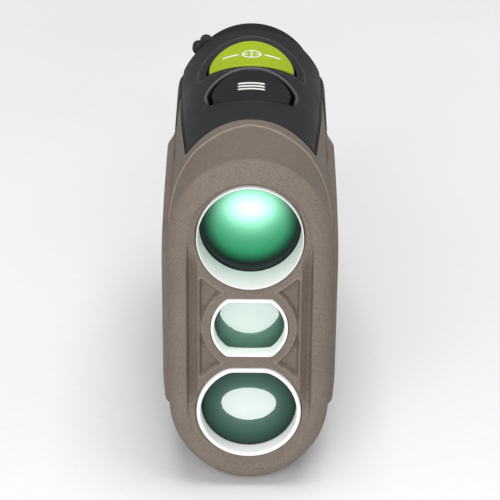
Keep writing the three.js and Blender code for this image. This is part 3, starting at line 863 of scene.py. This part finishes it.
def make_pad(name, side, node):
    p = side * np.linspace(24.5, 70, 240)
    y = np.linspace(-42.6, 27.4, 300)
    pp, yy = np.meshgrid(p, y)
    z = case_point(pp, SKIN_R + 1, yy)[..., 2]
    obj = patch_solid(name, p, y, SKIN_R - 0.05 + pad_height(yy, z))
    combine(obj, prism("cut", pad_outline(), "x", -30, 30), "INTERSECT")
    return dress(smooth(obj), taupe_rubber, replaced=[node])


# ---------- chassis ----------
REAR_SCREWS = [(-12, 34), (12, 34), (-8, 7.2), (8, 7.2)]


def case_relief(p, y):
    at = case_point(p, SKIN_R, y)
    top = outline_distance(at[:, 0], at[:, 1], top_outline(SLOT_GAP)) + 9 * (at[:, 2] < HIGH_Z)
    nose = outline_distance(at[:, 1], at[:, 2], armour_outline(SLOT_GAP)[:10])
    pad = outline_distance(at[:, 1], at[:, 2], pad_outline(SLOT_GAP))
    seam = 0.3 * np.exp(-((y - 28.6) / 0.22) ** 4)
    rear = fillet(np.maximum(CASE_REAR_Y - y, 0), 1.3)
    return 0.05 + fillet(top, 0.35) + fillet(nose, 0.35) + fillet(pad, 0.35) + seam + rear


def make_case_body():
    p = np.linspace(-HALF_ROUND, HALF_ROUND, 560, endpoint=False)
    levels = np.concatenate([np.linspace(-43.6, 27.6, 240), np.linspace(27.6, CASE_REAR_Y, 60)[1:]])
    stations = [(0.0, -43.6)] + [(SKIN_R - case_relief(p, y), y) for y in levels]
    stations.append((0.0, CASE_REAR_Y))
    obj = tube_solid("case_body_shell", p, stations)
    combine(obj, prism("cut", armour_outline(SLOT_GAP), "x", -30, 30))
    combine(obj, prism("cut", top_outline(SLOT_GAP), "z", 63.3, HEIGHT + 5))
    combine(obj, prism("cut", pad_outline(SLOT_GAP), "x", -30, 30))
    pocket = tube_solid("pocket", p, [(0, 29.2), (SKIN_INNER_R, 29.2), (SKIN_INNER_R, 40), (0, 40)])
    combine(obj, pocket)
    tube = inner_core("tube", TUBE_R, 2.9, 29.2)
    combine(obj, tube, "UNION")
    combine(obj, inner_core("hollow", TUBE_INNER_R, 4.9, 60))
    for x, z in REAR_SCREWS:
        boss = turned("boss", [(0, 20), (2, 20), (2, 29.2), (0, 29.2)], x, z, 32)
        combine(obj, boss, "UNION")
        combine(obj, turned("cut", [(0, 19), (1.1, 19), (1.1, 31), (0, 31)], x, z, 24))
    window = [(-11.6, -13), (11.6, -13), (11.6, 27), (-11.6, 27)]
    combine(obj, prism("cut", window, "z", 64, HEIGHT + 1))
    foot = rounded_rectangle(FOOT_HALF_X + 0.3, FOOT_HALF_Y + 0.3, 1.5, 0, TRIPOD_Y)
    combine(obj, prism("cut", foot, "z", -1, 9))
    cut_lens_holes(obj)
    return dress(smooth(obj), black_shell, replaced=["case_body"])


def rounded_rectangle(half_x, half_y, radius, x=0.0, y=0.0, steps=8):
    points = []
    for cx, cy, start in ((1, 1, 0), (-1, 1, 90), (-1, -1, 180), (1, -1, 270)):
        for a in np.radians(np.linspace(start, start + 90, steps)):
            points.append((x + cx * (half_x - radius) + radius * math.cos(a),
                           y + cy * (half_y - radius) + radius * math.sin(a)))
    return np.array(points)


def make_rear_cover():
    p = np.linspace(-HALF_ROUND, HALF_ROUND, 300, endpoint=False)
    profile = [(15.6, 29.5), (15.6, 31.9), (15.5, 32.3), (15.2, 32.5), (14.5, 32.5),
               (14.3, 32.4), (14.15, 32.1), (13.9, 32.05), (8, 32.05)]
    stations = [(0, 29.5)] + profile + [(0, 32.05)]
    obj = tube_solid("rear_cover_plate", p, stations)
    collar = turned("collar", soft_profile(
        [(11, 31), (12.3, 31), (12.3, 32.5), (11, 32.5)], 0.25), 0, BATTERY_Z)
    combine(obj, collar, "UNION")
    combine(obj, turned("cut", [(0, 20), (13.3, 20), (13.3, 40), (0, 40)], 0, EYEPIECE_Z))
    combine(obj, turned("cut", [(0, 20), (9, 20), (9, 31.2), (10.6, 32.2), (10.6, 40), (0, 40)],
                        0, BATTERY_Z))
    for x, z in REAR_SCREWS:
        combine(obj, turned(
            "cut", [(0, 25), (1.1, 25), (1.1, 31.2), (2, 31.2), (2, 31.9), (2.2, 40), (0, 40)],
            x, z, 40))
    return dress(smooth(obj), black_shell, replaced=["rear_cover"])


def make_screw(index, x, z):
    profile = [(0, 22), (0.4, 22.15), (0.8, 22.6), (0.8, 31.5), (1.7, 31.5), (1.7, 31.9),
               (1.55, 32.12), (1.2, 32.25), (0.6, 32.3), (0, 32.3)]
    obj = turned(f"rear_screw_{index}_head", profile, x, z, 48)
    turn = math.radians(20 + 37 * index)
    for quarter in (0, math.pi / 2):
        bar = rounded_rectangle(1.05, 0.19, 0.08, 0, 0, 4)
        c, s = math.cos(turn + quarter), math.sin(turn + quarter)
        slot_shape = np.column_stack([x + bar[:, 0] * c - bar[:, 1] * s,
                                      z + bar[:, 0] * s + bar[:, 1] * c])
        combine(obj, prism("cut", slot_shape, "y", 31.75, 33))
    return dress(smooth(obj), steel, replaced=[f"rear_screw_{index}"])


# ---------- base ----------
def make_base():
    rings = []
    for inset, z in ((0.5, 0), (0.12, 0.12), (0, 0.5), (0, 5)):
        at = rounded_rectangle(FOOT_HALF_X - inset, FOOT_HALF_Y - inset, 1.3, 0, TRIPOD_Y)
        rings.append(np.column_stack([at, np.full(len(at), z)]))
    foot = lofted("tripod_foot_plate", rings)
    boss = turned("boss", [(0, 1), (5.6, 1), (5.6, 7.3), (5.4, 7.5), (0, 7.5)], 0, TRIPOD_Y, 96,
                  upright=True)
    combine(foot, boss, "UNION")
    for i in range(4):
        for side in (-1, 1):
            rib = rounded_rectangle(5.4, 0.35, 0.3, 0, TRIPOD_Y + side * (6.6 + 1.25 * i), 5)
            combine(foot, prism("cut", rib, "z", -1, 0.35))
    combine(foot, turned("cut", [(0, -1), (5.0, -1), (4.5, 0.5), (4.5, 8), (0, 8)], 0, TRIPOD_Y,
                         96, upright=True))
    dress(smooth(foot), black_shell, replaced=["tripod_foot"])

    heights = np.linspace(0.7, 6.7, 74)
    profile = [(4.2, 0.3), (4.2, 7.0), (3.35, 7.0)] + [(3.05, z) for z in heights[::-1]]
    profile.append((3.45, 0.3))

    def thread(r, z, angle):
        wave = np.abs(((z / THREAD_PITCH - angle / (2 * math.pi)) % 1) * 2 - 1)
        return np.where(r < 3.2, 0.42 * wave, 0)

    bush = turned("tripod_bush_thread", profile, 0, TRIPOD_Y, 72, thread, upright=True)
    dress(smooth(bush, 60), brass, replaced=["tripod_bush"])


# ---------- lens bezels and front optics ----------
def leaning_ring(name, steps, x, z, radius, top, bottom, node):
    """A bezel whose front follows the leaning face; each step is (inset, y, from the face)."""
    rings = []
    for inset, y, on_face in steps:
        at = circle(radius - inset, x, z, 160, top - inset, bottom - inset)
        depth = face_y(at[:, 1]) + y if on_face else np.full(len(at), y)
        rings.append(np.column_stack([at[:, 0], depth, at[:, 1]]))
    obj = lofted(name, rings, wrap=True)
    return dress(smooth(obj), white_bezel, replaced=[node])


def make_bezels():
    s = BEZEL_SETBACK
    leaning_ring("objective_bezel_ring", [
        (0, -40.2, False), (0, s + 0.3, True), (0.06, s + 0.09, True), (0.15, s, True),
        (0.24, s + 0.03, True), (0.32, s + 0.2, True), (0.5, -40.2, False)],
        0, OBJECTIVE_Z, BEZEL_R, 99, 99, "objective_bezel")
    leaning_ring("emitter_bezel_ring", [
        (0, -44.8, False), (0, s + 0.3, True), (0.08, s + 0.09, True), (0.2, s, True),
        (0.5, s, True), (0.62, s + 0.07, True), (0.7, s + 0.3, True), (0.8, -44.8, False)],
        0, EMITTER_Z, EMITTER_BEZEL_R, 6.72, 6.72, "emitter_bezel")
    leaning_ring("receiver_bezel_ring", [
        (0, -45, False), (0, s + 0.3, True), (0.08, s + 0.09, True), (0.2, s, True),
        (0.7, s, True), (0.82, s + 0.07, True), (0.92, s + 0.3, True), (1.0, -45, False)],
        0, RECEIVER_Z, BEZEL_R + 0.02, 10.57, 99, "receiver_bezel")


def dome(name, radius, y_edge, curve, back_y, z, material, node, top=99.0, bottom=99.0,
         body="root", facing=-1):
    """A lens: a sphere of the given curvature in front of its edge, and a flat back."""
    edge_drop = curve - math.sqrt(curve * curve - radius * radius)
    rings = []
    for s in np.concatenate([np.linspace(0.02, 0.96, 30), [0.985, 1.0]]):
        at = circle(radius, 0, 0, 160, top, bottom) * s
        d = np.hypot(at[:, 0], at[:, 1])
        sag = curve - np.sqrt(curve * curve - d * d)
        y = y_edge + facing * (edge_drop - sag)
        rings.append(np.column_stack([at[:, 0], y, z + at[:, 1]]))
    rim = circle(radius, 0, z, 160, top, bottom)
    rings.append(np.column_stack([rim[:, 0], np.full(len(rim), back_y), rim[:, 1]]))
    return dress(smooth(lofted(name, rings), 30), material, body, [node])


def make_optics():
    upper = dome("objective_glass_dome", 10.36, -37.35, 22.0, -34.6, OBJECTIVE_Z,
                 objective_glass, "objective_lens")
    lower = dome("receiver_glass_dome", 10.2, -46.4, 40.0, -45.2, RECEIVER_Z, receiver_glass,
                 "receiver_lens", top=9.4)
    middle = dome("emitter_glass_window", 7.38, -45.6, 26.0, -44.6, EMITTER_Z, emitter_glass,
                  "emitter_window", top=5.8, bottom=5.8)
    ring = turned("objective_retaining_ring_edge", soft_profile([
        (10.8, -37.4), (10.8, -39.9), (10.62, -40.0), (10.42, -39.8), (10.42, -37.8),
        (10.2, -37.6), (10.2, -37.4)], 0.06, 3), 0, OBJECTIVE_Z, 160)
    dress(smooth(ring), black_metal, replaced=["objective_retaining_ring"])
    barrel = turned("objective_barrel_tube", [
        (11, -39.9), (11.6, -39.9), (11.6, -33), (11.2, -33), (11.2, -20), (10.2, -20),
        (10.2, -34.3), (11, -34.3)], 0, OBJECTIVE_Z, 128)
    dress(smooth(barrel), black_metal, replaced=["objective_barrel"])
    return upper, middle, lower


# ---------- eyepiece ----------
def tab_lobe(across):
    """One lobe of the focusing tab, upright above the eyepiece axis."""
    turn = math.radians(-TAB_TURN)
    rings = []
    for inset, y in ((0.7, 35.2), (0.25, 35.35), (0, 35.8), (0, 37.8), (0.25, 38.25), (0.7, 38.4)):
        a = np.linspace(0, math.pi, 17)
        r = TAB_LOBE_R - inset
        u = np.concatenate([across + r * np.cos(a), [across - r, across + r]])
        v = np.concatenate([TAB_R + r * np.sin(a), [14.0, 14.0]])
        x = u * math.cos(turn) + v * math.sin(turn)
        z = -u * math.sin(turn) + v * math.cos(turn)
        rings.append(np.column_stack([x, np.full(len(u), y), EYEPIECE_Z + z]))
    return lofted("lobe", rings)


def make_eyepiece():
    def knurl(r, y, angle):
        wave = 0.5 + 0.5 * np.cos(72 * angle)
        inside = smoothstep(34.3, 34.8, y) * smoothstep(38.1, 37.6, y) * (r > 14.8)
        return -0.34 * inside * wave ** 1.5

    band = [(15.2, y) for y in np.linspace(33.7, 38.2, 22)]
    profile = [(13.3, 33.3), (14.9, 33.3), (15.1, 33.42)] + band + [
        (15.1, 38.48), (14.9, 38.6), (12.9, 38.6), (12.9, 44), (11.3, 44), (11.3, 35.1),
        (13.3, 35.1)]
    ring = turned("diopter_ring_knurled", profile, 0, EYEPIECE_Z, 720, knurl)
    for across in (-TAB_HALF_GAP, TAB_HALF_GAP):
        combine(ring, tab_lobe(across), "UNION")
    dress(smooth(ring, 50), black_shell, "diopter", ["diopter_ring"])

    cup = turned("eyecup_rubber", soft_profile([
        (13.2, 38.9), (15.3, 38.9), (15.5, 40.6), (14.9, 41.1), (14.9, 41.6), (15.6, 42.1),
        (15.6, 43.3), (15.0, 43.8), (15.0, 44.3), (15.7, 44.8), (15.7, 48.2), (15.2, 49.5),
        (14.2, 49.5), (12.6, 47.5), (10.4, 45.6), (9.8, 44.9), (9.8, 44.3), (13.2, 44.3)],
        0.5, 6), 0, EYEPIECE_Z, 192)
    dress(smooth(cup), black_rubber, "diopter", ["eyecup"])
    tube = turned("ocular_barrel_tube", soft_profile([
        (11, 16), (11, 42), (9.4, 42), (9.4, 16)], 0.3, 4), 0, EYEPIECE_Z, 128)
    dress(smooth(tube), black_metal, "ocular", ["ocular_barrel"])
    dome("eye_lens_glass", 9.1, 39.6, 30.0, 37.2, EYEPIECE_Z, eye_glass, "eye_lens",
         body="ocular", facing=1)


# ---------- battery cap ----------
def make_cap():
    def knurl(r, y, angle):
        wave = 0.5 + 0.5 * np.cos(48 * angle)
        inside = smoothstep(32.9, 33.2, y) * smoothstep(34.5, 34.1, y) * (r > 10)
        return -0.32 * inside * wave ** 1.5

    rim = [(10.2, y) for y in np.linspace(32.9, 34.5, 12)]
    profile = [(0, 29.4), (8.6, 29.4), (8.6, 30.4), (7.9, 30.4), (7.9, 31.4), (8.6, 31.4),
               (8.6, 32.8), (10.1, 32.8)] + rim + [
        (10.1, 34.72), (9.95, 34.84), (9.6, 34.9), (8.7, 34.9), (8.6, 34.86), (8.4, 34.6),
        (8.2, 34.56), (8.0, 34.6), (7.8, 34.86), (7.7, 34.9), (0, 34.9)]
    cap = turned("battery_cap_knurled", profile, 0, BATTERY_Z, 480, knurl)
    coin = rounded_rectangle(6.5, 0.8, 0.75, 0, BATTERY_Z)
    combine(cap, prism("cut", coin, "y", 33.9, 36))
    dress(smooth(cap, 50), black_shell, "cap", ["battery_cap"])
    a = np.linspace(0, 2 * math.pi, 20, endpoint=False)
    section = np.column_stack([8.45 + 0.35 * np.cos(a), 30.9 + 0.35 * np.sin(a)])
    seal = turned("cap_seal_ring", section, 0, BATTERY_Z, 128)
    dress(smooth(seal), black_rubber, "cap_carriage", ["cap_seal"])


make_front_armour()
make_top_cover()
make_key("measure_key_cap", MEASURE_CAP, MEASURE_KEY_R, 0.5, 17, lime_key,
         "measure_key", "measure_button")
make_key("menu_key_cap", MENU_CAP, MENU_KEY_R, 0.45, -1, key_black, "menu_key",
         "menu_button")
make_marks()
make_pad("left_grip_pad_rubber", -1, "left_grip_pad")
make_pad("right_grip_pad_rubber", 1, "right_grip_pad")
make_case_body()
make_rear_cover()
for index, (x, z) in enumerate(REAR_SCREWS, 1):
    make_screw(index, x, z)
make_base()
make_bezels()
upper_lens, middle_lens, lower_lens = make_optics()
make_eyepiece()
make_cap()

# ---------- the carried-over CAD nodes ----------
finishes = {
    "taupe_rubber": taupe_rubber, "black_shell": black_shell, "lime_key": lime_key,
    "white_bezel": white_bezel, "green_glass": objective_glass, "teal_glass": receiver_glass,
    "black_metal": black_metal, "silver_metal": steel, "brass": brass,
    "board_green": board_green, "chip_black": chip_black, "black_rubber": black_rubber,
    "clear_glass": clear_glass, "cell_jacket": cell_jacket, "flex_amber": flex_amber,
}
for part in frame["record"]["subparts"]:
    node = frame["nodes"][part["node"]]
    node.data.materials.clear()
    node.data.materials.append(finishes[part["material_slot"]])

# ---------- stage, camera and light ----------
corners = [(-1, -1), (1, -1), (1, 1), (-1, 1)]
floor = mesh_object("floor", [(x * FLOOR_HALF, y * FLOOR_HALF, FLOOR_Z) for x, y in corners],
                    [[0, 1, 2, 3]])
floor.data.materials.append(floor_white)

camera_data = bpy.data.cameras.new("camera")
camera_data.lens = CAMERA_LENS
camera = bpy.data.objects.new("camera", camera_data)
bpy.context.scene.collection.objects.link(camera)
camera.location = CAMERA_AT
camera.rotation_mode = "QUATERNION"
facing = (Vector(CAMERA_AIM) - camera.location).to_track_quat("-Z", "Y")
camera.rotation_quaternion = facing @ Euler((0, 0, math.radians(CAMERA_ROLL))).to_quaternion()
bpy.context.scene.camera = camera


def area_light(name, place, aim, size, power, height=None, shape="RECTANGLE", only=None):
    """A soft light. With only, it lights that one piece, and shows there just as gloss."""
    data = bpy.data.lights.new(name, "AREA")
    data.energy = power
    data.size = size
    if height is not None:
        data.shape = shape
        data.size_y = height
    light = bpy.data.objects.new(name, data)
    light.location = place
    light.rotation_euler = (Vector(aim) - Vector(place)).to_track_quat("-Z", "Y").to_euler()
    light.visible_camera = False
    bpy.context.scene.collection.objects.link(light)
    if only is not None:
        lit = bpy.data.collections.new(name + "_lights")
        lit.objects.link(only)
        light.light_linking.receiver_collection = lit
        light.visible_diffuse = False


# Two soft boxes, then the highlight on each lens. Size is in metres and power in watts.
area_light("front", (-0.15, -1.0, 0.5), (0, 0, 0.04), 0.9, 8.8)
area_light("top", (0.1, 0.0, 1.2), (0, 0, 0.04), 0.8, 8.8)
area_light("upper_glint", (0, -0.19, 0.049), (0, -0.039, 0.0597), 0.15, 3.2, 0.055, "ELLIPSE",
           upper_lens)
area_light("middle_glint", (0, -0.061, 0.041), (0, -0.046, 0.041), 0.031, 0.085, 0.030,
           "ELLIPSE", middle_lens)
area_light("lower_glint", (0, -0.062, 0.0117), (0, -0.047, 0.0117), 0.0213, 0.037, 0.0162,
           "ELLIPSE", lower_lens)

world = bpy.data.worlds.new("studio")
world.use_nodes = True
world.node_tree.nodes["Background"].inputs["Color"].default_value = (1, 1, 1, 1)
world.node_tree.nodes["Background"].inputs["Strength"].default_value = 0.3
bpy.context.scene.world = world
bpy.context.scene.view_settings.view_transform = "Standard"
